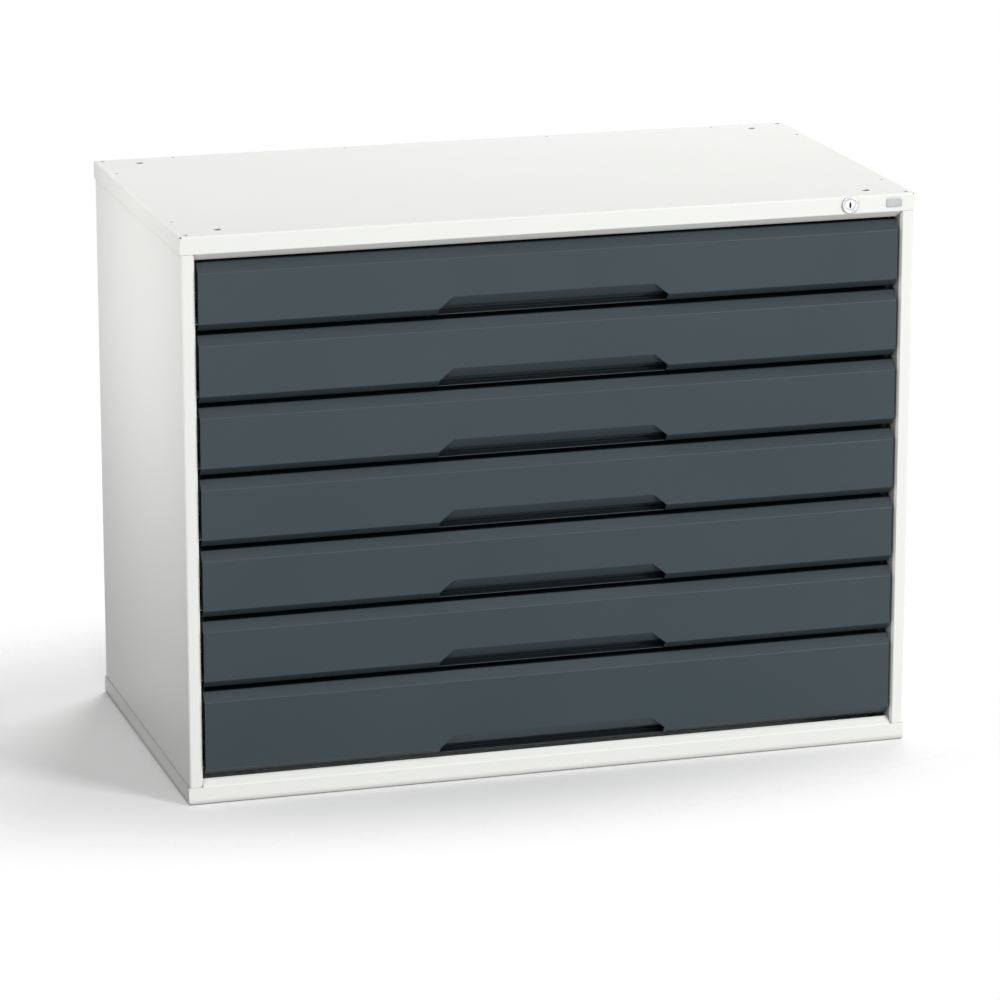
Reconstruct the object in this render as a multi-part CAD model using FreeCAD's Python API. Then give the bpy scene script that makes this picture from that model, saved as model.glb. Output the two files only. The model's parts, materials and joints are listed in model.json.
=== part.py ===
import FreeCAD
import Part
import math
import os
from FreeCAD import Vector

# Workshop drawer cabinet, in millimetres: x to the right, y to the back, z up.
# The origin is on the floor, under the middle of the cabinet. The front faces -y.

# Overall size
width = 1050.0
depth = 550.0
height = 800.0

# Sheet steel
shell_sheet = 1.2
post_sheet = 1.5
drawer_sheet = 1.0
shell_bend = 1.8
tray_bend = 1.2
drawer_bend = 1.2

# Top and base trays
tray_height = 25.0
lip_run = 10.0
lip_drop = 9.5
seam = 0.3
corner_relief = 2.6

# Holes in the trays, as distances in from the sides and from the front and back
stack_hole_radius = 5.75
stack_hole_side = 60.0
stack_hole_end = 35.0
corner_hole_radius = 3.75
corner_hole_inset = 10.5
side_hole_radius = 2.5
side_hole_side = 12.0
side_hole_end = 100.0
back_hole_radius = 2.25
back_hole_end = 10.0
back_hole_side = 115.0
back_hole_middle = 154.0
small_hole_sides = 12

# Side panels
jamb_face = 20.0
jamb_return = 25.0
rear_flange = 20.0
back_panel_inset = 3.0

# Posts with a row of slots that the runners hook into
post_width = 30.0
post_foot = 8.0
front_post_place = 55.0
rear_post_place = 470.0
slot_pitch = 25.1
slot_width = 4.0
slot_height = 14.0
slot_least_web = 8.0
slot_end_gap = 20.0

# Drawer fronts: as many as fit, each four slots high, and the lowest takes what is left
front_slots = 4
front_gap = 6.0
front_top_gap = 3.5
front_bottom_gap = 5.6
front_side_gap = 4.0
slope_run = 10.0
slope_height = 14.0
bevel_run = 10.0
bevel_height = 10.5
front_end_flange = 9.0
back_skin_gap = 0.2
back_skin_foot = 6.0

# Finger grip in the lower edge of each front
grip_width = 329.0
grip_top_width = 290.0
grip_rise = 16.0
grip_lip_run = 9.0
grip_lip_drop = 13.5

# Drawer bodies
body_place = 33.0
body_depth = 500.0
body_wall = 80.0
body_hem = 8.0
under_flange = 15.0
back_wall_drop = 8.0

# Runners: cabinet member, middle member and drawer member, one inside the other
runner_place = 27.0
runner_length = 500.0
runner_thickness = 12.7
runner_rise = 26.0
cabinet_member_height = 45.0
middle_member_height = 37.0
drawer_member_height = 29.4
member_sheet = 1.4
member_bend = 0.8
member_flange = 11.2
member_gap = 0.6
cage_clearance = 0.3
cage_place = 4.6
cage_width = 5.0
cage_length = 200.0
cage_inset = 20.0
hook_length = 3.0
hook_height = 8.0
hook_thickness = 2.8

# Lock in the middle of the fascia's height
lock_inset = 96.0
lock_ring_radius = 11.75
lock_ring_front = 2.0
lock_ring_chamfer = 0.7
lock_barrel_radius = 9.0
lock_barrel_length = 21.0
lock_hole_clearance = 0.15
plug_radius = 6.8
plug_clearance = 0.08
plug_recess = 0.6
keyway_width = 2.4
keyway_height = 8.6
keyway_depth = 12.0
nut_flats = 20.0
nut_thickness = 4.0
nut_hole_sides = 24

# Lock train: the cam's pin moves the plate sideways, and its sloped slot lifts the bar
lock_throw = 12.0
lock_clearance = 0.3
cam_start = 45.0
cam_thickness = 2.0
cam_half_width = 4.0
cam_pin_radius = 2.5
cam_screw_radius = 3.0
cam_screw_height = 1.6
plate_place = 26.0
plate_sheet = 1.5
plate_above = 5.0
plate_below = 19.0
plate_before_lock = 45.0
plate_end_margin = 6.0
pin_slack = 0.7
clip_width = 12.0
clip_sheet = 1.0
clip_inset = 13.0
clip_past_lock = 37.0
bar_place = 30.0
bar_sheet = 2.0
bar_width = 13.8
bar_side_gap = 0.3
bar_bottom = 60.0
bar_below_lock = 5.0
bar_arm_height = 15.5
bar_arm_margin = 6.5
bar_pin_inset = 5.0
bar_pin_below_lock = 12.5
bar_pin_radius = 2.5
tab_clearance = 1.5
tab_reach_gap = 2.7
tab_height = 9.0
guide_height = 20.0
guide_arm = 9.0
guide_sheet = 1.0
guide_low = 130.0
guide_below_top = 70.0

# Catch on each drawer body, right side
catch_height = 10.0
catch_reach = 10.7
catch_foot = 26.0
catch_sheet = 1.5
catch_place = 34.0

# Blind rivets in the back panel
rivet_radius = 3.2
rivet_head = 1.0
rivet_inset = 10.0
rivet_low = 50.0
rivets_up_each_side = 6

# Worked out from the sizes above
front = -depth / 2
back = depth / 2
panel_outside = width / 2 - shell_sheet
panel_inside = panel_outside - shell_sheet
jamb_inside = width / 2 - jamb_face
body_half = jamb_inside - runner_thickness
front_half = jamb_inside - front_side_gap
back_panel_front = back - 2 * shell_sheet
panel_end = shell_sheet + tray_bend
front_pitch = front_slots * slot_pitch
opening_bottom = tray_height + lip_drop + front_bottom_gap
opening_top = height - tray_height - lip_drop - front_top_gap
drawer_count = math.floor((opening_top - opening_bottom + front_gap) / front_pitch)
lock_place = width / 2 - lock_inset
lock_height = height - tray_height / 2
bar_right = panel_inside - guide_sheet - bar_side_gap
bar_left = bar_right - bar_width
bar_top = lock_height - bar_below_lock
bar_pin_place = jamb_inside - bar_pin_inset
bar_pin_height = lock_height - bar_pin_below_lock
plate_left = lock_place - plate_before_lock
plate_right = bar_pin_place + lock_throw + plate_end_margin


def behind(distance):
    # y of something this far behind the front plane
    return front + distance


def box(x0, x1, y0, y1, z0, z1):
    return Part.makeBox(x1 - x0, y1 - y0, z1 - z0, Vector(x0, y0, z0))


def rod(radius, start, end):
    way = end - start
    return Part.makeCylinder(radius, way.Length, start, way)


def mirrored(shape):
    return shape.mirror(Vector(0, 0, 0), Vector(1, 0, 0))


def joined(first, others):
    return first.fuse(others).removeSplitter()


def save(node, shape):
    if not shape.isValid():
        print("not valid:", node)
    shape.exportStep("parts/" + node + ".step")
    print(node, len(shape.Solids), "solids", round(shape.Volume / 1000, 2), "cm3")


# Folded sheet

def direction(a, b):
    length = math.hypot(b[0] - a[0], b[1] - a[1])
    return ((b[0] - a[0]) / length, (b[1] - a[1]) / length)


def rounded(corner, before, after, turn, radius):
    # start, middle and end of the arc that rounds a corner
    half = abs(turn) / 2
    reach = radius * math.tan(half)
    inward = direction((before[0], before[1]), (after[0], after[1]))
    rise = radius * (1 / math.cos(half) - 1)
    start = (corner[0] - before[0] * reach, corner[1] - before[1] * reach)
    middle = (corner[0] + inward[0] * rise, corner[1] + inward[1] * rise)
    end = (corner[0] + after[0] * reach, corner[1] + after[1] * reach)
    return (start, middle, end)


def sheet_sides(points, sheet, bend, flat, flat_inside):
    # the two faces of a sheet that follows points and has its thickness on their left
    near = []
    far = []
    last = len(points) - 1
    for i, (a, b) in enumerate(points):
        before = direction(points[i - 1], points[i]) if i > 0 else direction(points[0], points[1])
        after = direction(points[i], points[i + 1]) if i < last else before
        turn = math.atan2(before[0] * after[1] - before[1] * after[0],
                          before[0] * after[0] + before[1] * after[1])
        aside = direction((0, 0), (-before[1] - after[1], before[0] + after[0]))
        mitre = sheet / math.cos(turn / 2)
        other = (a + aside[0] * mitre, b + aside[1] * mitre)
        if i in (0, last):
            near.append(((a, b),))
            far.append((other,))
            continue
        outer, inner = bend + sheet, bend
        near_radius = outer if turn > 0 else inner
        far_radius = inner if turn > 0 else outer
        for side, corner, radius in ((near, (a, b), near_radius), (far, other, far_radius)):
            start, middle, end = rounded(corner, before, after, turn, radius)
            pressed = i in flat or (flat_inside and radius == inner)
            side.append((start, end) if pressed else (start, middle, end))
    return near, far


def place(axis, along, a, b):
    # a section's point in space: the section runs along the named axis
    if axis == "x":
        return Vector(along, a, b)
    if axis == "y":
        return Vector(a, along, b)
    return Vector(a, b, along)


def folded(points, sheet, bend, axis, start, end, flat=(), flat_inside=False):
    # the bends numbered in flat, or the inside of every bend, are pressed as a narrow flat and not as an arc
    near, far = sheet_sides(points, sheet, bend, flat, flat_inside)
    stops = near + [tuple(reversed(stop)) for stop in reversed(far)]
    edges = []
    for i, stop in enumerate(stops):
        spots = [place(axis, start, a, b) for a, b in stop]
        if len(spots) == 2:
            edges.append(Part.LineSegment(spots[0], spots[1]).toShape())
        if len(spots) == 3:
            edges.append(Part.Arc(spots[0], spots[1], spots[2]).toShape())
        after = place(axis, start, *stops[(i + 1) % len(stops)][0])
        edges.append(Part.LineSegment(spots[-1], after).toShape())
    face = Part.Face(Part.Wire(edges))
    return face.extrude(place(axis, end - start, 0, 0))


def outlined(points, axis, start, end):
    corners = [place(axis, start, a, b) for a, b in points]
    face = Part.Face(Part.makePolygon(corners + corners[:1]))
    return face.extrude(place(axis, end - start, 0, 0))


# Top and base trays

def tray_block(inset, bottom, radius):
    half = width / 2 - inset
    block = box(-half, half, front + inset, back - inset, bottom, height - inset)
    upper = [edge for edge in block.Edges if all(v.Z > height - inset - 0.01 for v in edge.Vertexes)]
    return block.makeFillet(radius, upper)


def tray():
    # a shallow tray, open side down, with the sloped lip under its fascia
    rim = height - tray_height
    shape = tray_block(0, rim, tray_bend + shell_sheet)
    shape = shape.cut(tray_block(shell_sheet, rim - 1, tray_bend))
    lip_half = jamb_inside - seam
    lip_start = rim + 2 * shell_sheet
    shape = shape.cut(box(-lip_half, lip_half, front - 1, front + 2 * shell_sheet, rim - 1, lip_start))
    lip = [(front, lip_start), (front, rim), (front + lip_run, rim - lip_drop)]
    shape = joined(shape, [folded(lip, shell_sheet, tray_bend, "x", -lip_half, lip_half)])
    for side in (-1, 1):
        for end in (-1, 1):
            x0, x1 = sorted((side * (width / 2 - corner_relief), side * (width / 2 + 1)))
            y0, y1 = sorted((end * (depth / 2 - corner_relief), end * (depth / 2 + 1)))
            shape = shape.cut(box(x0, x1, y0, y1, height - corner_relief, height + 1))
    return shape


def ring_points(a, b, radius, sides):
    # the corners of an even ring of short sides round (a, b)
    turns = [2 * k * math.pi / sides for k in range(sides)]
    return [(a + radius * math.cos(turn), b + radius * math.sin(turn)) for turn in turns]


def punched(shape, radius, places):
    # small holes through the top sheet, with short flat sides
    for x, y in places:
        sides = ring_points(x, y, radius, small_hole_sides)
        shape = shape.cut(outlined(sides, "z", height - 2 * shell_sheet, height + 1))
    return shape


def drilled(shape, radius, places):
    # round holes through the top sheet
    for x, y in places:
        shape = shape.cut(rod(radius, Vector(x, y, height - 2 * shell_sheet), Vector(x, y, height + 1)))
    return shape


def near_corners(from_side, from_end):
    x = width / 2 - from_side
    y = depth / 2 - from_end
    return [(-x, -y), (x, -y), (x, y), (-x, y)]


def top_panel():
    shape = drilled(tray(), stack_hole_radius, near_corners(stack_hole_side, stack_hole_end))
    shape = punched(shape, corner_hole_radius, near_corners(corner_hole_inset, corner_hole_inset))
    shape = punched(shape, side_hole_radius, near_corners(side_hole_side, side_hole_end))
    across = width / 2 - back_hole_side
    row = (-across, -back_hole_middle, back_hole_middle, across)
    shape = punched(shape, back_hole_radius, [(x, back - back_hole_end) for x in row])
    return shape.cut(lock_hole())


def base_panel():
    shape = drilled(tray(), stack_hole_radius, near_corners(stack_hole_side, stack_hole_end))
    return shape.mirror(Vector(0, 0, height / 2), Vector(0, 0, 1))


# Side and back panels

def side_panel():
    # left side: rear flange, wall, jamb face and the jamb's return
    rear = back_panel_front
    section = [
        (-panel_outside + rear_flange, rear),
        (-panel_outside, rear),
        (-panel_outside, front),
        (-jamb_inside, front),
        (-jamb_inside, behind(jamb_return)),
    ]
    shape = folded(section, shell_sheet, shell_bend, "z", panel_end, height - panel_end, (1, 3))
    # above and below the opening only the wall goes on, behind the trays' edges
    for z0, z1 in ((0, tray_height + seam), (height - tray_height - seam, height)):
        shape = shape.cut(box(-width / 2, -jamb_inside + 1, front - 1, front + shell_sheet + seam, z0, z1))
        shape = shape.cut(box(-panel_inside, -jamb_inside + 1, front - 1, behind(jamb_return + 1), z0, z1))
    return shape


def back_panel():
    half = panel_outside - back_panel_inset
    return box(-half, half, back_panel_front, back - shell_sheet, panel_end, height - panel_end)


def rivet(x, z):
    face = back - shell_sheet
    return outlined(ring_points(x, z, rivet_radius, small_hole_sides), "y", face, face + rivet_head)


def back_rivets():
    x = panel_outside - rear_flange + rivet_inset
    step = (height - 2 * rivet_low) / (rivets_up_each_side - 1)
    heads = []
    for side in (-1, 1):
        for i in range(rivets_up_each_side):
            heads.append(rivet(side * x, rivet_low + i * step))
    return Part.makeCompound(heads)


# Where each drawer lies

def front_top(i):
    return opening_top - i * front_pitch


def front_bottom(i):
    # the lowest front goes down to the base's lip
    if i == drawer_count - 1:
        return opening_bottom
    return front_top(i) - front_pitch + front_gap


def front_height(i):
    return front_top(i) - front_bottom(i)


def body_bottom(i):
    return front_bottom(i) + drawer_sheet


def wall_height(i):
    # every body ends as far below its front's top
    return body_wall + front_height(i) - (front_pitch - front_gap)


def runner_centre(i):
    return body_bottom(i) + runner_rise


def tab_bottom(i):
    # the lock bar's tab and the catch above it lie over the runner's front end
    return runner_centre(i) + cabinet_member_height / 2 + tab_clearance


def catch_bottom(i):
    return tab_bottom(i) + tab_height + tab_clearance


# Posts

def slot_centres():
    # one row from the lowest runner up to the next, and a second from there to the top
    lowest = runner_centre(drawer_count - 1)
    second = runner_centre(drawer_count - 2)
    centres = []
    z = lowest - slot_pitch * math.floor((lowest - slot_height / 2 - slot_end_gap) / slot_pitch)
    while z + slot_height + slot_least_web < second:
        centres.append(z)
        z += slot_pitch
    z = second
    while z + slot_height / 2 < height - slot_end_gap:
        centres.append(z)
        z += slot_pitch
    return centres


def post(near, centres):
    wall = -panel_inside + post_sheet
    web = -jamb_inside
    y0 = behind(near)
    y1 = y0 + post_width
    section = [
        (wall, y0 - post_foot),
        (wall, y0),
        (web, y0),
        (web, y1),
        (wall, y1),
        (wall, y1 + post_foot),
    ]
    shape = folded(section, post_sheet, member_bend, "z", shell_sheet, height - shell_sheet, (1, 2, 3, 4))
    middle = (y0 + y1) / 2
    slots = []
    for z in centres:
        slots.append(box(web - 2 * post_sheet, web + 1, middle - slot_width / 2, middle + slot_width / 2,
                         z - slot_height / 2, z + slot_height / 2))
    return shape.cut(slots)


def posts():
    # the rear post has only the slots that hold a runner
    held = [runner_centre(i) for i in range(drawer_count)]
    return [post(front_post_place, slot_centres()), post(rear_post_place, held)]


# Runners, left side

def channel(web, flange_end, centre, member_height):
    # a C section that opens towards flange_end, along the runner's length
    top = centre + member_height / 2
    bottom = centre - member_height / 2
    ends = [(flange_end, top), (web, top), (web, bottom), (flange_end, bottom)]
    if flange_end < web:
        ends.reverse()
    y0 = behind(runner_place)
    return folded(ends, member_sheet, member_bend, "y", y0, y0 + runner_length, (1, 2))


def cabinet_member(i):
    web = -jamb_inside
    z = runner_centre(i)
    hooks = []
    for near in (front_post_place, rear_post_place):
        y = behind(near + post_width / 2)
        hooks.append(box(web - hook_length, web + member_sheet / 2, y - hook_thickness / 2,
                         y + hook_thickness / 2, z - hook_height / 2, z + hook_height / 2))
    return joined(channel(web, web + member_flange, z, cabinet_member_height), hooks)


def cage(i, outer_height, inner_height, near):
    # the strips that hold the balls between two members, above and below
    space = outer_height / 2 - member_sheet - inner_height / 2
    thickness = space - 2 * cage_clearance
    x = -jamb_inside + cage_place
    y = behind(runner_place + near)
    strips = []
    for side in (-1, 1):
        z = runner_centre(i) + side * (inner_height / 2 + space / 2)
        strips.append(box(x, x + cage_width, y, y + cage_length, z - thickness / 2, z + thickness / 2))
    return strips


def middle_member(i):
    web = -jamb_inside + member_sheet + member_gap
    shape = channel(web, web + member_flange - 2 * member_gap - member_sheet, runner_centre(i),
                    middle_member_height)
    rear = runner_length - cage_inset - cage_length
    return [shape] + cage(i, cabinet_member_height, middle_member_height, rear) + cage(
        i, middle_member_height, drawer_member_height, cage_inset)


def drawer_member(i):
    web = -jamb_inside + runner_thickness
    flange_end = -jamb_inside + 2 * member_sheet + 2 * member_gap
    return channel(web, flange_end, runner_centre(i), drawer_member_height)


# Drawer bodies

def drawer_body(i):
    z0 = body_bottom(i)
    z1 = z0 + wall_height(i)
    y0 = behind(body_place)
    y1 = y0 + body_depth
    hem = body_half - body_hem
    section = [(-hem, z1), (-body_half, z1), (-body_half, z0), (body_half, z0), (body_half, z1), (hem, z1)]
    trough = folded(section, drawer_sheet, drawer_bend, "y", y0, y1, (1, 2, 3, 4))
    inner = body_half - drawer_sheet / 2
    front_wall_top = front_bottom(i) + front_height(i) - drawer_sheet
    walls = [
        box(-inner, inner, y0, y0 + drawer_sheet, z0 + drawer_sheet / 2, front_wall_top),
        box(-inner, inner, y1 - drawer_sheet, y1, z0 + drawer_sheet / 2, z1 - back_wall_drop),
    ]
    return joined(trough, walls)


# Drawer fronts

def front_outline(i):
    # the front's outer faces, seen from the left: back skin's foot, back skin, top, slope, face, bevel
    # and under flange
    low = front_bottom(i)
    high = low + front_height(i)
    foot = low + drawer_sheet + back_skin_gap
    return [
        (behind(body_place - back_skin_foot), foot),
        (behind(body_place), foot),
        (behind(body_place), high),
        (behind(slope_run), high),
        (front, high - slope_height),
        (front, low + bevel_height),
        (behind(bevel_run), low),
        (behind(body_place + under_flange), low),
    ]


def grip_outline(i, inset):
    # the grip's outline in the face, inset from its edges
    low = front_bottom(i)
    face_low = low + bevel_height
    half = grip_width / 2 - inset
    half_top = grip_top_width / 2 - inset
    grip_top = face_low + grip_rise
    return [(-half, low - 1), (half, low - 1), (half, face_low), (half_top, grip_top), (-half_top, grip_top),
            (-half, face_low)]


def grip_pieces(i):
    # the lip that the fingers pull on, and the flanges that close the grip's ends
    low = front_bottom(i)
    face_low = low + bevel_height
    grip_top = face_low + grip_rise
    overlap = 3 * drawer_sheet
    lip = [(front, grip_top + overlap), (front, grip_top), (behind(grip_lip_run), grip_top - grip_lip_drop)]
    half_top = grip_top_width / 2
    strip = folded(lip, drawer_sheet, drawer_bend, "x", -grip_width / 2, grip_width / 2)
    window = outlined(grip_outline(i, 0), "y", front - 1, behind(bevel_run))
    collar = box(-half_top, half_top, front - 1, behind(bevel_run), grip_top - 0.01, grip_top + overlap)
    lip_shape = strip.common(window.fuse(collar))
    ring = outlined(grip_outline(i, -drawer_sheet), "y", front, behind(bevel_run))
    ring = ring.cut(outlined(grip_outline(i, 0), "y", front - 1, behind(bevel_run + 1)))
    below_top = box(-grip_width, grip_width, front - 1, behind(bevel_run + 1), low, grip_top)
    envelope = outlined(front_outline(i)[-5:-1], "x", -grip_width, grip_width)
    return lip_shape, ring.common(below_top).common(envelope)


def drawer_front(i):
    low = front_bottom(i)
    high = low + front_height(i)
    face_low = low + bevel_height
    ridge = high - slope_height
    shape = folded(front_outline(i), drawer_sheet, drawer_bend, "x", -front_half, front_half, (1, 2), True)
    # behind the slope and the bevel, the flanges are only as wide as the drawer body
    flange_start = behind(slope_run + drawer_bend + drawer_sheet)
    for side in (-1, 1):
        x0, x1 = sorted((side * body_half, side * (front_half + 1)))
        shape = shape.cut(box(x0, x1, flange_start, behind(body_place + under_flange + 1), low - 1, high + 1))
    ends = []
    for side in (-1, 1):
        x0, x1 = sorted((side * front_half, side * (front_half - drawer_sheet)))
        ends.append(box(x0, x1, front + drawer_sheet / 2, behind(front_end_flange), face_low + 1, ridge - 1))
    # the grip's window, up to where its lip starts
    overlap = 3 * drawer_sheet
    half_top = grip_top_width / 2
    window_back = behind(bevel_run + drawer_bend)
    shape = shape.cut(outlined(grip_outline(i, 0), "y", front - 1, window_back))
    shape = shape.cut(box(-half_top, half_top, front - 1, front + 2 * drawer_sheet,
                          face_low + grip_rise - 0.01, face_low + grip_rise + overlap))
    lip_shape, end_flanges = grip_pieces(i)
    return joined(shape, ends + [lip_shape, end_flanges])


# Catch on the drawer body's right side

def catch(i):
    z = catch_bottom(i)
    y = behind(catch_place)
    section = [
        (body_half + catch_reach, y),
        (body_half, y),
        (body_half, y + catch_foot),
    ]
    section.reverse()
    return folded(section, catch_sheet, member_bend, "z", z, z + catch_height, (1,))


# Lock

def on_lock_axis(distance):
    # a point on the plug's axis, this far behind the front plane
    return Vector(lock_place, behind(distance), lock_height)


def lock_hole():
    radius = lock_barrel_radius + lock_hole_clearance
    return rod(radius, on_lock_axis(-1), on_lock_axis(2 * shell_sheet))


def lock_body():
    face = behind(-lock_ring_front)
    ring = rod(lock_ring_radius, on_lock_axis(-lock_ring_front), on_lock_axis(0))
    rim = [edge for edge in ring.Edges if all(abs(v.Y - face) < 0.01 for v in edge.Vertexes)]
    ring = ring.makeChamfer(lock_ring_chamfer, rim)
    barrel = rod(lock_barrel_radius, on_lock_axis(0), on_lock_axis(lock_barrel_length))
    bore_radius = plug_radius + plug_clearance
    bore = rod(bore_radius, on_lock_axis(-lock_ring_front - 1), on_lock_axis(lock_barrel_length + 1))
    return joined(ring, [barrel]).cut(bore)


def lock_nut():
    y0 = behind(shell_sheet)
    y1 = y0 + nut_thickness
    corner = nut_flats / 2 / math.cos(math.pi / 6)
    hole = (lock_barrel_radius + lock_hole_clearance / 2) / math.cos(math.pi / nut_hole_sides)
    nut = outlined(ring_points(lock_place, lock_height, corner, 6), "y", y0, y1)
    thread = ring_points(lock_place, lock_height, hole, nut_hole_sides)
    return nut.cut(outlined(thread, "y", y0 - 1, y1 + 1))


def lock_plug():
    recess = plug_recess - lock_ring_front
    face = behind(recess)
    plug = rod(plug_radius, on_lock_axis(recess), on_lock_axis(lock_barrel_length + lock_clearance))
    keyway = box(lock_place - keyway_width / 2, lock_place + keyway_width / 2, face - 1, face + keyway_depth,
                 lock_height - keyway_height / 2, lock_height + keyway_height / 2)
    return plug.cut(keyway)


def pin_offset():
    # the cam's pin starts this far to the right of and below the plug's axis
    return lock_throw / 2


def cam_radius():
    return lock_throw / 2 * math.sqrt(2)


def lock_cam():
    # an arm on the plug's end, with the pin that works in the plate's slot
    near = lock_barrel_length + lock_clearance
    y0 = behind(near)
    y1 = y0 + cam_thickness
    reach = cam_radius()
    hub = rod(plug_radius, on_lock_axis(near), on_lock_axis(near + cam_thickness))
    arm = box(-cam_half_width, cam_half_width, y0, y1, -reach, 0)
    tip = rod(cam_half_width, Vector(0, y0, -reach), Vector(0, y1, -reach))
    pin = rod(cam_pin_radius, Vector(0, y0, -reach), Vector(0, behind(plate_place + plate_sheet + 1), -reach))
    swung = arm.fuse([tip, pin])
    swung.rotate(Vector(0, 0, 0), Vector(0, 1, 0), -cam_start)
    swung.translate(Vector(lock_place, 0, lock_height))
    hexagon = ring_points(lock_place, lock_height, cam_screw_radius, 6)
    screw = outlined(hexagon, "y", y1, y1 + cam_screw_height)
    return joined(hub, [swung]).fuse(screw)


def slotted(radius, y0, y1, start, end):
    # a slot with round ends from start to end, both (x, z)
    run = math.hypot(end[0] - start[0], end[1] - start[1])
    tilt = math.degrees(math.atan2(end[1] - start[1], end[0] - start[0]))
    slot = box(0, run, y0, y1, -radius, radius)
    slot = slot.fuse([rod(radius, Vector(0, y0, 0), Vector(0, y1, 0)),
                      rod(radius, Vector(run, y0, 0), Vector(run, y1, 0))])
    slot.rotate(Vector(0, 0, 0), Vector(0, 1, 0), -tilt)
    slot.translate(Vector(start[0], 0, start[1]))
    return slot


def lock_transfer_plate():
    y0 = behind(plate_place)
    y1 = y0 + plate_sheet
    plate = box(plate_left, plate_right, y0, y1, lock_height - plate_below, lock_height + plate_above)
    pin_x = lock_place + pin_offset()
    slack = cam_pin_radius + pin_slack
    cam_slot = slotted(slack, y0 - 1, y1 + 1, (pin_x, lock_height - cam_radius()),
                       (pin_x, lock_height - pin_offset()))
    lift = (bar_pin_place, bar_pin_height)
    lift_end = (bar_pin_place + lock_throw, bar_pin_height + lock_throw)
    bar_slot = slotted(bar_pin_radius + lock_clearance, y0 - 1, y1 + 1, lift, lift_end)
    return plate.cut([cam_slot, bar_slot])


def plate_clips():
    # folded clips under the top panel, which carry the plate
    near = behind(plate_place) - lock_clearance
    far = near + plate_sheet + 2 * lock_clearance
    low = lock_height - plate_below - lock_clearance
    ceiling = height - shell_sheet
    clips = []
    for x in (plate_left + clip_inset, lock_place + clip_past_lock):
        section = [
            (near - clip_sheet - clip_width, ceiling - clip_sheet),
            (near - clip_sheet, ceiling - clip_sheet),
            (near - clip_sheet, low - clip_sheet),
            (far + clip_sheet, low - clip_sheet),
            (far + clip_sheet, low + clip_width),
        ]
        x0 = x - clip_width / 2
        clips.append(folded(section, clip_sheet, clip_sheet / 4, "x", x0, x0 + clip_width, (1, 2, 3)))
    return clips


def lock_bar():
    y0 = behind(bar_place)
    return box(bar_left, bar_right, y0, y0 + bar_sheet, bar_bottom, bar_top)


def lock_bar_head():
    # an arm welded to the bar's top, with the pin that works in the plate's sloped slot
    y0 = behind(bar_place)
    arm = box(bar_pin_place - bar_arm_margin, bar_left, y0, y0 + bar_sheet, bar_top - bar_arm_height, bar_top)
    pin = rod(bar_pin_radius, Vector(bar_pin_place, behind(plate_place - 1), bar_pin_height),
              Vector(bar_pin_place, y0, bar_pin_height))
    return joined(arm, [pin])


def lock_bar_tabs():
    # a tab for each drawer, welded to the bar's edge
    y0 = behind(bar_place)
    tabs = []
    for i in range(drawer_count):
        z = tab_bottom(i)
        tabs.append(box(body_half + tab_reach_gap, bar_left, y0, y0 + bar_sheet, z, z + tab_height))
    return tabs


def lock_bar_guides():
    # channels on the right side panel that the bar slides in
    y0 = behind(bar_place) - lock_clearance - guide_sheet
    y1 = behind(bar_place) + bar_sheet + lock_clearance + guide_sheet
    guides = []
    guide_high = bar_top - guide_below_top
    for z in (guide_low, (guide_low + guide_high) / 2, guide_high):
        section = [
            (panel_inside - guide_arm, y0),
            (panel_inside, y0),
            (panel_inside, y1),
            (panel_inside - guide_arm, y1),
        ]
        z0 = z - guide_height / 2
        guides.append(folded(section, guide_sheet, guide_sheet / 5, "z", z0, z0 + guide_height, (1, 2)))
    return guides


def write_housing():
    left = side_panel()
    save("left_side_panel", left)
    save("right_side_panel", mirrored(left))
    save("top_panel", top_panel())
    save("base_panel", base_panel())
    save("back_panel", back_panel())
    save("back_rivets", back_rivets())
    uprights = Part.makeCompound(posts())
    save("left_posts", uprights)
    save("right_posts", mirrored(uprights))
    members = Part.makeCompound([cabinet_member(i) for i in range(drawer_count)])
    save("left_cabinet_runners", members)
    save("right_cabinet_runners", mirrored(members))


def write_lock():
    save("lock_body", lock_body())
    save("lock_nut", lock_nut())
    save("lock_plug", lock_plug())
    save("lock_cam", lock_cam())
    save("lock_transfer_plate", lock_transfer_plate())
    save("lock_plate_clips", Part.makeCompound(plate_clips()))
    save("lock_bar", lock_bar())
    save("lock_bar_head", lock_bar_head())
    save("lock_bar_tabs", Part.makeCompound(lock_bar_tabs()))
    save("lock_bar_guides", Part.makeCompound(lock_bar_guides()))


def write_drawer(i):
    name = "drawer_" + str(i + 1)
    save(name + "_front", drawer_front(i))
    save(name + "_body", drawer_body(i))
    member = drawer_member(i)
    save(name + "_runners", Part.makeCompound([member, mirrored(member)]))
    middle = Part.makeCompound(middle_member(i))
    save(name + "_middle_runners", Part.makeCompound([middle, mirrored(middle)]))
    save(name + "_catch", catch(i))


os.makedirs("parts", exist_ok=True)
write_housing()
write_lock()
for drawer in range(drawer_count):
    write_drawer(drawer)
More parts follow.
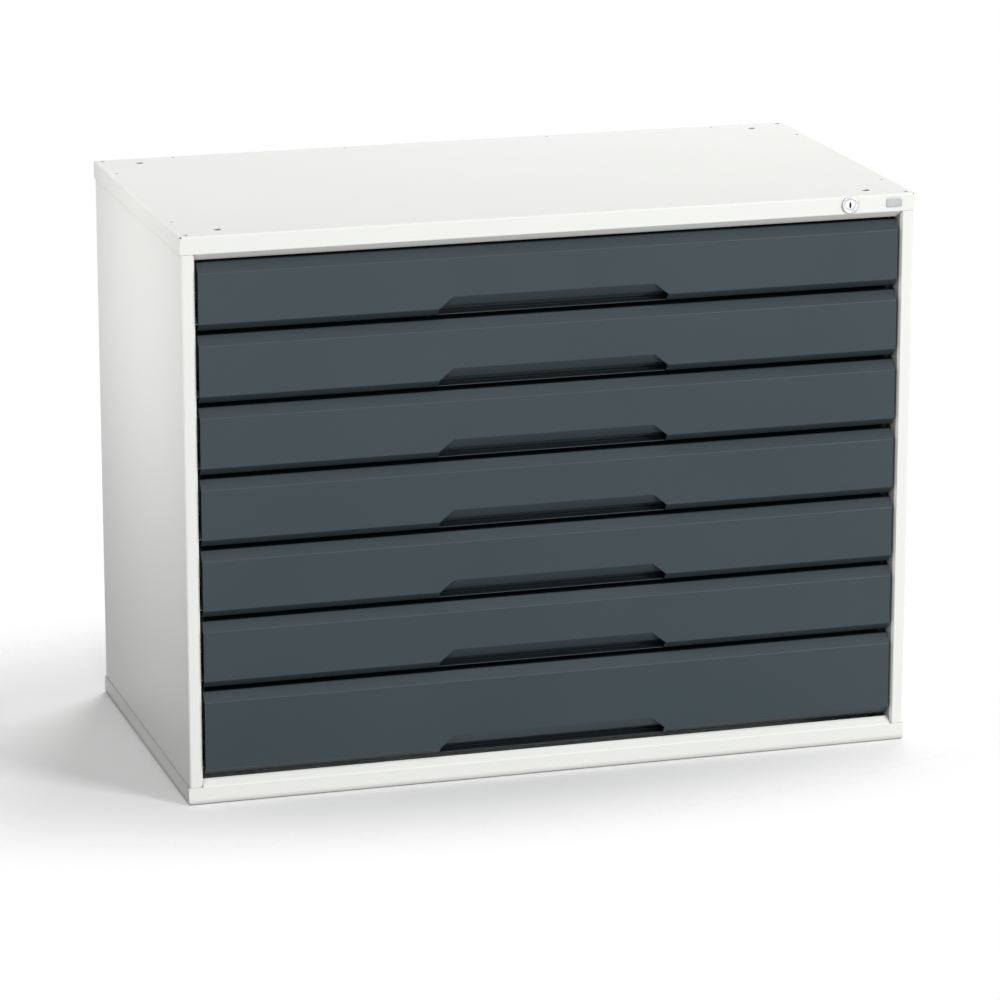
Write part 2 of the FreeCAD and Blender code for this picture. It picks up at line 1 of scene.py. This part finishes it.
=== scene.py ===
import json
import math
import bmesh
import bpy
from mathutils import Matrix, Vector


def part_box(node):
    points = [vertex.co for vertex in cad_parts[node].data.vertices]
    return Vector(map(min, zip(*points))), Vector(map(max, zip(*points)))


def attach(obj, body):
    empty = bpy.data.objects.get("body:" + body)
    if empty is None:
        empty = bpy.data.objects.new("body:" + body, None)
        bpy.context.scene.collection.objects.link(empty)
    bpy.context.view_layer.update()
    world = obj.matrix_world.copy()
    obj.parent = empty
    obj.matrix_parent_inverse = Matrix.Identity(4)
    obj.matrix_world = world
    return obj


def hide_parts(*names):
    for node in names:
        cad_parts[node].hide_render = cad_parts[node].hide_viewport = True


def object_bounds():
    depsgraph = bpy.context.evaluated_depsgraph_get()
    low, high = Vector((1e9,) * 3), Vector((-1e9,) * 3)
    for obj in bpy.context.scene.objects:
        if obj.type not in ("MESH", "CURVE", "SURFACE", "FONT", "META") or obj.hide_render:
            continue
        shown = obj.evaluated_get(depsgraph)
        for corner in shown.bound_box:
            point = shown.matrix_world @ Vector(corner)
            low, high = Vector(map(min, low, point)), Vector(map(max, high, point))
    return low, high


# A workshop drawer cabinet in a white studio. Metres, the front faces -Y.

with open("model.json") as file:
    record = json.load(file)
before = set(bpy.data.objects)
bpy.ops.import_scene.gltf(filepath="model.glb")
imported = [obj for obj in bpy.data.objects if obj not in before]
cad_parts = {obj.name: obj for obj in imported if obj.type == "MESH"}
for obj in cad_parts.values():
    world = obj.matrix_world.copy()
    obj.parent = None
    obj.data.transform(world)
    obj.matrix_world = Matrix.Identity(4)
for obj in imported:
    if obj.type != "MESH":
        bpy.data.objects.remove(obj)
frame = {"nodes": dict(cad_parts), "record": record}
cadBox = [list(v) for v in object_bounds()]
nodes = frame["nodes"]
slotOfNode = {part["node"]: part["material_slot"] for part in frame["record"]["subparts"]}
print("frame loaded:", len(nodes), "pieces")


# Node helpers

def newNode(tree, kind, x, y, **settings):
    node = tree.nodes.new(kind)
    node.location = (x, y)
    for name, value in settings.items():
        setattr(node, name, value)
    return node


def addSocket(group, name, way, kind="NodeSocketFloat", value=None):
    socket = group.interface.new_socket(name=name, in_out=way, socket_type=kind)
    if value is not None:
        socket.default_value = value


def placeGroup(tree, group, x, y, **values):
    node = newNode(tree, "ShaderNodeGroup", x, y, node_tree=group)
    for name, value in values.items():
        node.inputs[name].default_value = value
    return node


def setOrLink(tree, value, socket):
    if isinstance(value, (int, float)):
        socket.default_value = value
    else:
        tree.links.new(value, socket)


def mathNode(tree, operation, x, y, first, second):
    node = newNode(tree, "ShaderNodeMath", x, y, operation=operation)
    for socket, value in zip(node.inputs, (first, second)):
        setOrLink(tree, value, socket)
    return node.outputs[0]


def remap(tree, x, y, value, low, high, fromLow=0.0, fromHigh=1.0):
    node = newNode(tree, "ShaderNodeMapRange", x, y)
    ends = {"From Min": fromLow, "From Max": fromHigh, "To Min": low, "To Max": high}
    for name, number in ends.items():
        setOrLink(tree, number, node.inputs[name])
    tree.links.new(value, node.inputs["Value"])
    return node.outputs["Result"]


def scaledColor(tree, x, y, color, shade):
    node = newNode(tree, "ShaderNodeVectorMath", x, y, operation="SCALE")
    tree.links.new(color, node.inputs[0])
    tree.links.new(shade, node.inputs["Scale"])
    return node.outputs[0]


def scaledNoise(tree, coordinates, x, y, scale, detail, stretch=(1, 1, 1)):
    mapping = newNode(tree, "ShaderNodeMapping", x - 200, y)
    mapping.inputs["Scale"].default_value = stretch
    noise = newNode(tree, "ShaderNodeTexNoise", x, y)
    noise.inputs["Scale"].default_value = scale
    noise.inputs["Detail"].default_value = detail
    tree.links.new(coordinates, mapping.inputs["Vector"])
    tree.links.new(mapping.outputs["Vector"], noise.inputs["Vector"])
    return noise.outputs["Fac"]


def aroundZero(tree, x, y, noise):
    # a noise runs from 0 to 1, with its middle at a half
    return mathNode(tree, "SUBTRACT", x, y, noise, 0.5)


# Shared effects

noiseSpan = (0.3, 0.7)  # most of a noise lies between these two

coatEffect = {"driftScale": 3.2, "driftDetail": 4.0, "grainDetail": 2.0, "grainInShade": 0.35,
              "grainInPeel": 0.6, "cellBlend": 1.0, "glossSwing": 0.05}

# painted shade in seams, folds and gaps: its rays, and the occlusion from open to closed that
# darkens the colour
paintedSeamEffect = {"samples": 4, "open": 1.0, "closed": 0.42, "darkest": 0.96}

metalEffect = {"lineScale": 420.0, "lineDetail": 3.0, "lineStretch": (1, 0.03, 1),
               "cloudScale": 26.0, "cloudDetail": 4.0, "glossSwing": 0.04}


def makePowderCoat(effect):
    # the coat's fine orange peel, with its slow drift in shade and in gloss
    group = bpy.data.node_groups.new("powderCoat", "ShaderNodeTree")
    addSocket(group, "Color", "INPUT", "NodeSocketColor", (0.5, 0.5, 0.5, 1))
    addSocket(group, "Drift", "INPUT", value=0.03)
    addSocket(group, "Peel Scale", "INPUT", value=700)
    addSocket(group, "Roughness", "INPUT", value=0.5)
    addSocket(group, "Color", "OUTPUT", "NodeSocketColor")
    addSocket(group, "Roughness", "OUTPUT")
    addSocket(group, "Height", "OUTPUT")
    entry = newNode(group, "NodeGroupInput", -1000, 0)
    leave = newNode(group, "NodeGroupOutput", 800, 0)
    where = newNode(group, "ShaderNodeTexCoord", -1000, 300).outputs["Object"]
    slow = scaledNoise(group, where, -500, 300, effect["driftScale"], effect["driftDetail"])
    grain = newNode(group, "ShaderNodeTexNoise", -500, 0)
    grain.inputs["Detail"].default_value = effect["grainDetail"]
    cells = newNode(group, "ShaderNodeTexVoronoi", -500, -300, feature="SMOOTH_F1")
    cells.inputs["Smoothness"].default_value = effect["cellBlend"]
    for pattern in (grain, cells):
        group.links.new(where, pattern.inputs["Vector"])
        group.links.new(entry.outputs["Peel Scale"], pattern.inputs["Scale"])
    # shade: one plus or minus the drift, with a little of the grain in it
    wide = aroundZero(group, -250, 300, slow)
    fine = aroundZero(group, -350, 150, grain.outputs["Fac"])
    fine = mathNode(group, "MULTIPLY", -250, 150, fine, effect["grainInShade"])
    both = mathNode(group, "ADD", -120, 250, wide, fine)
    drift = mathNode(group, "MULTIPLY", 0, 300, both, entry.outputs["Drift"])
    shade = mathNode(group, "ADD", 150, 300, drift, 1.0)
    color = scaledColor(group, 350, 300, entry.outputs["Color"], shade)
    swing = effect["glossSwing"]
    gloss = remap(group, 0, 0, slow, -swing, swing, *noiseSpan)
    roughness = mathNode(group, "ADD", 200, 0, gloss, entry.outputs["Roughness"])
    raised = mathNode(group, "MULTIPLY", -200, -250, grain.outputs["Fac"], effect["grainInPeel"])
    peel = mathNode(group, "ADD", 0, -250, raised, cells.outputs["Distance"])
    group.links.new(color, leave.inputs["Color"])
    group.links.new(roughness, leave.inputs["Roughness"])
    group.links.new(peel, leave.inputs["Height"])
    return group


def makePaintedSeamShade(name, effect, ownFacesOnly):
    # painted shade: one on open faces, less in seams, folds and grooves that are narrower than the
    # reach, and the colour is scaled by it
    group = bpy.data.node_groups.new(name, "ShaderNodeTree")
    addSocket(group, "Reach", "INPUT", value=0.004)
    addSocket(group, "Depth", "INPUT", value=0.6)
    addSocket(group, "Shade", "OUTPUT")
    entry = newNode(group, "NodeGroupInput", -700, 0)
    leave = newNode(group, "NodeGroupOutput", 400, 0)
    light = newNode(group, "ShaderNodeAmbientOcclusion", -450, 100,
                    samples=effect["samples"], only_local=ownFacesOnly)
    group.links.new(entry.outputs["Reach"], light.inputs["Distance"])
    dark = remap(group, -200, 100, light.outputs["AO"],
                 effect["open"], 0.0, effect["closed"], effect["darkest"])
    share = mathNode(group, "MULTIPLY", 0, 0, dark, entry.outputs["Depth"])
    shade = mathNode(group, "SUBTRACT", 200, 0, 1.0, share)
    group.links.new(shade, leave.inputs["Shade"])
    return group


def makeMetalGrain(effect):
    # zinc plating or rolled steel: long fine lines, soft cloudy patches
    group = bpy.data.node_groups.new("metalGrain", "ShaderNodeTree")
    addSocket(group, "Color", "INPUT", "NodeSocketColor", (0.6, 0.6, 0.6, 1))
    addSocket(group, "Lines", "INPUT", value=0.06)
    addSocket(group, "Roughness", "INPUT", value=0.35)
    addSocket(group, "Color", "OUTPUT", "NodeSocketColor")
    addSocket(group, "Roughness", "OUTPUT")
    addSocket(group, "Height", "OUTPUT")
    entry = newNode(group, "NodeGroupInput", -1000, 0)
    leave = newNode(group, "NodeGroupOutput", 800, 0)
    where = newNode(group, "ShaderNodeTexCoord", -1000, 300).outputs["Object"]
    lines = scaledNoise(group, where, -500, 300, effect["lineScale"], effect["lineDetail"],
                        effect["lineStretch"])
    cloud = scaledNoise(group, where, -500, 0, effect["cloudScale"], effect["cloudDetail"])
    mixed = mathNode(group, "ADD", -200, 200, aroundZero(group, -300, 300, lines),
                     aroundZero(group, -300, 0, cloud))
    change = mathNode(group, "MULTIPLY", 0, 200, mixed, entry.outputs["Lines"])
    shade = mathNode(group, "ADD", 100, 200, change, 1.0)
    color = scaledColor(group, 350, 300, entry.outputs["Color"], shade)
    swing = effect["glossSwing"]
    gloss = remap(group, 0, 0, cloud, -swing, swing, *noiseSpan)
    roughness = mathNode(group, "ADD", 200, 0, gloss, entry.outputs["Roughness"])
    group.links.new(color, leave.inputs["Color"])
    group.links.new(roughness, leave.inputs["Roughness"])
    group.links.new(lines, leave.inputs["Height"])
    return group


powderCoat = makePowderCoat(coatEffect)
metalGrain = makeMetalGrain(metalEffect)
# painted shade: a still seam is darkened by all that is near it, a moving one by its own piece
# alone, so that no painted shade stays on a piece once it is out; the fronts are still, so that the
# gaps between them get painted shade
paintedSeamShades = {
    "still": makePaintedSeamShade("paintedSeamShade", paintedSeamEffect, False),
    "moving": makePaintedSeamShade("paintedFoldShade", paintedSeamEffect, True),
}


# Finishes

# each finish's painted shade darkens its colour in seams, folds, grips and gaps; reach is how near
# a face must be, depth how dark it gets at most
coatedFinishes = {
    "white_coat": {"color": (0.85, 0.86, 0.83), "drift": 0.02, "peel": 900, "roughness": 0.42,
                   "shine": 0.5, "bump": 0.1, "paintedShade": "still", "reach": 0.009, "depth": 0.65},
    # the fronts take deep painted shade in their grips and in the gaps between the drawers
    "grey_coat": {"color": (0.037, 0.055, 0.066), "drift": 0.08, "peel": 900, "roughness": 0.4,
                  "shine": 0.3, "bump": 0.12, "paintedShade": "still", "reach": 0.045, "depth": 0.95},
    "drawer_coat": {"color": (0.6, 0.62, 0.62), "drift": 0.04, "peel": 800, "roughness": 0.45,
                    "shine": 0.4, "bump": 0.12, "paintedShade": "moving", "reach": 0.01, "depth": 0.6},
}

metalFinishes = {
    "zinc_steel": {"color": (0.6, 0.61, 0.63), "lines": 0.12, "roughness": 0.38, "bump": 0.03,
                   "paintedShade": "moving", "reach": 0.006, "depth": 0.6},
    "runner_steel": {"color": (0.6, 0.61, 0.63), "lines": 0.1, "roughness": 0.34, "bump": 0.02,
                     "paintedShade": "moving", "reach": 0.006, "depth": 0.6},
    "rivet_steel": {"color": (0.6, 0.6, 0.6), "lines": 0.12, "roughness": 0.4, "bump": 0.08,
                    "paintedShade": "still", "reach": 0.002, "depth": 0.6},
    "lock_chrome": {"color": (0.74, 0.74, 0.77), "lines": 0.03, "roughness": 0.2, "bump": 0.02,
                    "paintedShade": "still", "reach": 0.002, "depth": 0.8},
    # the keyhole reads dark from painted shade, with a depth near one
    "lock_plug": {"color": (0.86, 0.86, 0.88), "lines": 0.05, "roughness": 0.3, "bump": 0.04,
                  "paintedShade": "moving", "reach": 0.004, "depth": 0.97},
    "plate": {"color": (0.44, 0.45, 0.46), "lines": 0.3, "roughness": 0.32, "bump": 0.08,
              "paintedShade": "still", "reach": 0.002, "depth": 0.8},
}

bumpDistance = 0.00006


def startMaterial(name):
    material = bpy.data.materials.new(name)
    material.use_nodes = True
    tree = material.node_tree
    shader = tree.nodes["Principled BSDF"]
    return material, tree, shader


def finishWithPaintedShade(tree, shader, surface, finish):
    # takes a placed group's colour, darkened by painted shade in the seams, folds and gaps, its
    # roughness and its bump
    paintedShade = placeGroup(tree, paintedSeamShades[finish["paintedShade"]], -750, -150,
                       Reach=finish["reach"], Depth=finish["depth"])
    color = scaledColor(tree, -400, 150, surface.outputs["Color"], paintedShade.outputs["Shade"])
    bump = newNode(tree, "ShaderNodeBump", -250, -300)
    bump.inputs["Strength"].default_value = finish["bump"]
    bump.inputs["Distance"].default_value = bumpDistance
    tree.links.new(surface.outputs["Height"], bump.inputs["Height"])
    tree.links.new(color, shader.inputs["Base Color"])
    tree.links.new(surface.outputs["Roughness"], shader.inputs["Roughness"])
    tree.links.new(bump.outputs["Normal"], shader.inputs["Normal"])


def makeCoated(name, finish):
    material, tree, shader = startMaterial(name)
    coat = placeGroup(tree, powderCoat, -800, 200, Drift=finish["drift"],
                      Roughness=finish["roughness"])
    coat.inputs["Color"].default_value = (*finish["color"], 1)
    coat.inputs["Peel Scale"].default_value = finish["peel"]
    shader.inputs["Specular IOR Level"].default_value = finish["shine"]
    finishWithPaintedShade(tree, shader, coat, finish)
    return material


def makeMetal(name, finish):
    material, tree, shader = startMaterial(name)
    grain = placeGroup(tree, metalGrain, -800, 200, Lines=finish["lines"],
                       Roughness=finish["roughness"])
    grain.inputs["Color"].default_value = (*finish["color"], 1)
    shader.inputs["Metallic"].default_value = 1.0
    finishWithPaintedShade(tree, shader, grain, finish)
    return material


materials = {name: makeCoated(name, finish) for name, finish in coatedFinishes.items()}
materials.update({name: makeMetal(name, finish) for name, finish in metalFinishes.items()})

for nodeName, cadPiece in nodes.items():
    for materialSlot in cadPiece.material_slots:
        materialSlot.material = materials[slotOfNode[nodeName]]
print("finishes on", len(nodes), "pieces")


# Modelling helpers

def startPiece():
    if bpy.context.object and bpy.context.object.mode != "OBJECT":
        bpy.ops.object.mode_set(mode="OBJECT")
    bpy.ops.object.select_all(action="DESELECT")


def selectFaces(piece, wanted):
    # in edit mode: selects the faces that wanted(face) picks, and nothing else
    bpy.ops.mesh.select_mode(type="FACE")
    bpy.ops.mesh.select_all(action="DESELECT")
    shape = bmesh.from_edit_mesh(piece.data)
    for face in shape.faces:
        face.select_set(wanted(face))
    bmesh.update_edit_mesh(piece.data)


def looksForward(face):
    return face.normal.y < -0.9


def looksBack(face):
    return face.normal.y > 0.9


def isCap(face):
    # a round end, where all other faces have four corners
    return len(face.verts) > 4


def stepInward(steps):
    # insets the selected face step by step, each by a width and a rise
    for inward, outward in steps:
        bpy.ops.mesh.inset(thickness=inward, depth=outward)


def pushBack(distance):
    bpy.ops.mesh.extrude_region_move(TRANSFORM_OT_translate={"value": (0, distance, 0)})


def turnFacesOut():
    bpy.ops.mesh.select_all(action="SELECT")
    bpy.ops.mesh.normals_make_consistent(inside=False)


def smoothPiece(degrees):
    bpy.ops.object.mode_set(mode="OBJECT")
    bpy.ops.object.shade_smooth_by_angle(angle=math.radians(degrees))


def settle(piece, name):
    # place, turn and size go into the mesh
    bpy.ops.object.transform_apply(location=True, rotation=True, scale=True)
    piece.name = name
    piece.data.name = name


def dress(piece, body, slotName, finish=None):
    piece.data.materials.clear()
    piece.data.materials.append(materials[finish or slotName])
    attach(piece, body)


# Blank plate at the fascia's right end

blankPlate = {"center": (0.4945, 0.7875), "width": 0.022, "height": 0.012, "thickness": 0.0009,
              "corner": 0.0018, "cornerSteps": 5,
              "rim": 0.6, "swell": 0.25}  # both as shares of the thickness


def makeBlankPlate(size):
    startPiece()
    thickness = size["thickness"]
    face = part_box("top_panel")[0][1]
    x, z = size["center"]
    bpy.ops.mesh.primitive_cube_add(size=1, location=(x, face - thickness / 2, z),
                                    scale=(size["width"], thickness, size["height"]))
    plate = bpy.context.object
    bpy.ops.object.transform_apply(location=False, rotation=False, scale=True)
    # the four edges that run through the plate are rounded
    corners = plate.modifiers.new("corners", "BEVEL")
    corners.width = size["corner"]
    corners.segments = size["cornerSteps"]
    corners.limit_method = "WEIGHT"
    weights = plate.data.attributes.new("bevel_weight_edge", "FLOAT", "EDGE")
    for edge in plate.data.edges:
        a, b = (plate.data.vertices[i].co for i in edge.vertices)
        weights.data[edge.index].value = 1.0 if abs(a.y - b.y) > thickness / 2 else 0.0
    bpy.ops.object.modifier_apply(modifier=corners.name)
    bpy.ops.object.mode_set(mode="EDIT")
    selectFaces(plate, looksForward)
    bpy.ops.mesh.inset(thickness=thickness * size["rim"], depth=thickness * size["swell"])
    bpy.ops.object.mode_set(mode="OBJECT")
    settle(plate, "blankPlate")
    dress(plate, "housing", "lock_plug", "plate")


makeBlankPlate(blankPlate)
print("blank plate made")


# Lock face: a chromed ring with a dished front, and a plug with an oval keyhole

lockRing = {"radius": 0.01175, "front": 0.002, "barrel": 0.009, "bore": 0.00688,
            "sides": 72, "smooth": 35, "crown": 0.0011,
            "shoulder": ((0.0002, 0.00022), (0.0003, 0.00014), (0.00045, 0.00006)),
            "dish": ((0.0003, -0.00012), (0.0016, -0.0004))}

lockPlug = {"radius": 0.0068, "sides": 72, "smooth": 35, "edge": 0.0003, "edgeSlope": 0.6,
            "keyHeight": 0.0047, "keyWidth": 0.0016, "keyEdge": 0.0002, "keyDepth": 0.011}


def addBarrel(size, front, back, x, z):
    # a round bar along Y from front to back, left in edit mode with its front face selected
    bpy.ops.mesh.primitive_cylinder_add(vertices=size["sides"], radius=size["radius"],
                                        depth=back - front, location=(x, (front + back) / 2, z),
                                        rotation=(math.pi / 2, 0, 0))
    piece = bpy.context.object
    bpy.ops.object.transform_apply(location=True, rotation=True, scale=True)
    bpy.ops.object.mode_set(mode="EDIT")
    selectFaces(piece, looksForward)
    return piece


def makeLockRing(size):
    low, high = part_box("lock_body")
    x, z = (low[0] + high[0]) / 2, (low[2] + high[2]) / 2
    seat = low[1] + size["front"]
    rise = sum(outward for inward, outward in size["shoulder"])
    sunk = low[1] - sum(outward for inward, outward in size["dish"])
    startPiece()
    ring = addBarrel(size, low[1] + rise, seat, x, z)
    stepInward(size["shoulder"])
    bpy.ops.mesh.inset(thickness=size["crown"])
    stepInward(size["dish"])
    steps = sum(inward for inward, outward in size["shoulder"] + size["dish"])
    bpy.ops.mesh.inset(thickness=size["radius"] - size["crown"] - steps - size["bore"])
    pushBack(high[1] - sunk)
    # the barrel behind the seat, opened to meet the bore
    selectFaces(ring, lambda face: looksBack(face) and isCap(face))
    bpy.ops.mesh.inset(thickness=size["radius"] - size["barrel"])
    pushBack(high[1] - seat)
    selectFaces(ring, isCap)
    bpy.ops.mesh.bridge_edge_loops()
    turnFacesOut()
    smoothPiece(size["smooth"])
    settle(ring, "lockRing")
    dress(ring, "housing", "lock_chrome")
    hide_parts("lock_body")


def makeLockPlug(size):
    low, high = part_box("lock_plug")
    x, z = (low[0] + high[0]) / 2, (low[2] + high[2]) / 2
    edge, keyEdge = size["edge"], size["keyEdge"]
    rise = edge * size["edgeSlope"]
    startPiece()
    plug = addBarrel(size, low[1] + rise, high[1], x, z)
    bpy.ops.mesh.inset(thickness=edge, depth=rise)
    bpy.ops.mesh.inset(thickness=size["radius"] - edge - size["keyHeight"])
    bpy.ops.transform.resize(value=(size["keyWidth"] / size["keyHeight"], 1, 1),
                             center_override=(x, low[1], z))
    bpy.ops.mesh.inset(thickness=keyEdge, depth=-keyEdge)
    pushBack(size["keyDepth"])
    turnFacesOut()
    smoothPiece(size["smooth"])
    settle(plug, "keyPlug")
    dress(plug, "lock_barrel", "lock_plug")
    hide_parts("lock_plug")


makeLockRing(lockRing)
makeLockPlug(lockPlug)
print("lock face made")


# Domed rivet heads along the back

rivetHead = {"radius": 0.0032, "height": 0.0011, "sides": 24, "smooth": 50, "rows": 6,
             "skirt": 0.4,  # as a share of the height
             "dome": ((0.22, 0.3), (0.22, 0.21), (0.2, 0.09), (0.04, -0.35))}  # of radius, height


def makeRivets(size):
    low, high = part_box("back_rivets")
    face = low[1]
    radius, height = size["radius"], size["height"]
    columns = (low[0] + radius, high[0] - radius)
    bottom, top = low[2] + radius, high[2] - radius
    skirt = height * size["skirt"]
    startPiece()
    bpy.ops.mesh.primitive_cylinder_add(vertices=size["sides"], radius=radius, depth=skirt,
                                        location=(0, 0, skirt / 2))
    head = bpy.context.object
    bpy.ops.object.mode_set(mode="EDIT")
    selectFaces(head, lambda f: f.normal.z > 0.9)
    stepInward((radius * inward, height * outward) for inward, outward in size["dome"])
    smoothPiece(size["smooth"])
    head.rotation_euler = (-math.pi / 2, 0, 0)
    bpy.ops.object.transform_apply(location=True, rotation=True, scale=True)
    copies = []
    for x in columns:
        for row in range(size["rows"]):
            copy = head.copy()
            copy.data = head.data.copy()
            copy.location = (x, face, bottom + (top - bottom) * row / (size["rows"] - 1))
            bpy.context.collection.objects.link(copy)
            copies.append(copy)
    bpy.data.objects.remove(head, do_unlink=True)
    startPiece()
    for copy in copies:
        copy.select_set(True)
    bpy.context.view_layer.objects.active = copies[0]
    bpy.ops.object.join()
    rivets = bpy.context.object
    settle(rivets, "rivetHeads")
    dress(rivets, "housing", "rivet_steel")
    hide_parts("back_rivets")


makeRivets(rivetHead)
print("rivet heads made")


# Floor, backdrop, light and camera

studio = {"floorSize": 40, "floor": (0.3, 0.3, 0.3), "floorSeen": (1, 1, 1),
          "floorNear": 0.31, "floorFar": 0.66, "floorMiddle": (-0.1, 0.06),
          "world": 0.25, "worldSeen": 1.0, "worldColor": (1, 1, 1)}

lamps = {
    "low front": {"place": (-1.0, -5.2, 1.2), "aim": (0, 0, 0.45),
                  "size": 2.4, "power": 46, "spread": 180},
    "high front": {"place": (-2.0, -8, 7.5), "aim": (0, 0, 0.45),
                   "size": 3.0, "power": 95, "spread": 120},
    "far right": {"place": (6.5, -8, 3.5), "aim": (0, 0, 0.45),
                  "size": 3.0, "power": 300, "spread": 120},
    "top back": {"place": (1.3, 2.4, 3.2), "aim": (0, 0, 0.5),
                 "size": 2.0, "power": 56, "spread": 150, "glossy": False},
    "left": {"place": (-2.2, 0, 0.9), "aim": (-0.52, 0, 0.75),
             "size": 0.6, "power": 1.9, "spread": 50},
}

mainView = {"lens": 175.7, "sensor": 36, "farthest": 100, "place": (-1.9369, -6.5116, 2.1634),
            "tilt": -0.2643, "turn": -0.2896}


def makeFloor(setup):
    # white to the camera, greyer to the light that it throws back, and gone into the white far away
    startPiece()
    bpy.ops.mesh.primitive_plane_add(size=setup["floorSize"], location=(0, 0, 0))
    floor = bpy.context.object
    floor.name = "floor"
    material, tree, shader = startMaterial("floor")
    path = newNode(tree, "ShaderNodeLightPath", -700, 200)
    mix = newNode(tree, "ShaderNodeMix", -350, 200, data_type="RGBA")
    mix.inputs["A"].default_value = (*setup["floor"], 1)
    mix.inputs["B"].default_value = (*setup["floorSeen"], 1)
    seen = mathNode(tree, "MAXIMUM", -520, 150,
                    path.outputs["Is Camera Ray"], path.outputs["Is Glossy Ray"])
    tree.links.new(seen, mix.inputs["Factor"])
    tree.links.new(mix.outputs["Result"], shader.inputs["Base Color"])
    shader.inputs["Roughness"].default_value = 1.0
    shader.inputs["Specular IOR Level"].default_value = 0.0
    # the fade follows an oval as much longer than deep as the cabinet is; only the camera sees it
    where = newNode(tree, "ShaderNodeTexCoord", -1100, -300)
    oval = newNode(tree, "ShaderNodeMapping", -900, -300)
    narrow = cadBox[1][1] / cadBox[1][0]
    middleX, middleY = setup["floorMiddle"]
    oval.inputs["Scale"].default_value = (narrow, 1, 1)
    oval.inputs["Location"].default_value = (-middleX * narrow, -middleY, 0)
    reach = newNode(tree, "ShaderNodeVectorMath", -700, -300, operation="LENGTH")
    tree.links.new(where.outputs["Object"], oval.inputs["Vector"])
    tree.links.new(oval.outputs["Vector"], reach.inputs[0])
    fade = newNode(tree, "ShaderNodeMapRange", -500, -300, interpolation_type="SMOOTHSTEP")
    fade.inputs["From Min"].default_value = setup["floorNear"]
    fade.inputs["From Max"].default_value = setup["floorFar"]
    tree.links.new(reach.outputs["Value"], fade.inputs["Value"])
    gone = mathNode(tree, "MULTIPLY", -300, -300,
                    fade.outputs["Result"], path.outputs["Is Camera Ray"])
    tree.links.new(mathNode(tree, "SUBTRACT", -150, -300, 1.0, gone), shader.inputs["Alpha"])
    floor.data.materials.append(material)


def makeWorld(setup):
    # plain white where it is seen or mirrored, and a dimmer fill for the light that it gives
    world = bpy.data.worlds.new("studio")
    bpy.context.scene.world = world
    world.use_nodes = True
    tree = world.node_tree
    background = tree.nodes["Background"]
    path = newNode(tree, "ShaderNodeLightPath", -800, 0)
    seen = mathNode(tree, "MAXIMUM", -600, 0,
                    path.outputs["Is Camera Ray"], path.outputs["Is Glossy Ray"])
    seen = mathNode(tree, "MAXIMUM", -450, 0, seen, path.outputs["Is Transmission Ray"])
    strength = remap(tree, -250, 0, seen, setup["world"], setup["worldSeen"])
    tree.links.new(strength, background.inputs["Strength"])
    background.inputs["Color"].default_value = (*setup["worldColor"], 1)


def makeLamp(name, setup):
    data = bpy.data.lights.new(name, "AREA")
    data.shape = "SQUARE"
    data.size = setup["size"]
    data.energy = setup["power"]
    data.spread = math.radians(setup["spread"])
    lamp = bpy.data.objects.new(name, data)
    lamp.visible_camera = False
    lamp.visible_glossy = setup.get("glossy", True)
    bpy.context.collection.objects.link(lamp)
    lamp.location = setup["place"]
    beam = Vector(setup["aim"]) - Vector(setup["place"])
    lamp.rotation_euler = beam.to_track_quat("-Z", "Y").to_euler()


def makeCamera(setup):
    data = bpy.data.cameras.new("camera")
    data.lens = setup["lens"]
    data.sensor_width = setup["sensor"]
    data.clip_end = setup["farthest"]
    camera = bpy.data.objects.new("camera", data)
    bpy.context.collection.objects.link(camera)
    camera.location = setup["place"]
    camera.rotation_euler = (math.pi / 2 + setup["tilt"], 0, setup["turn"])
    bpy.context.scene.camera = camera


makeFloor(studio)
makeWorld(studio)
for lampName, lampSetup in lamps.items():
    makeLamp(lampName, lampSetup)
makeCamera(mainView)
bpy.context.scene.view_settings.view_transform = "Standard"
print("studio set")
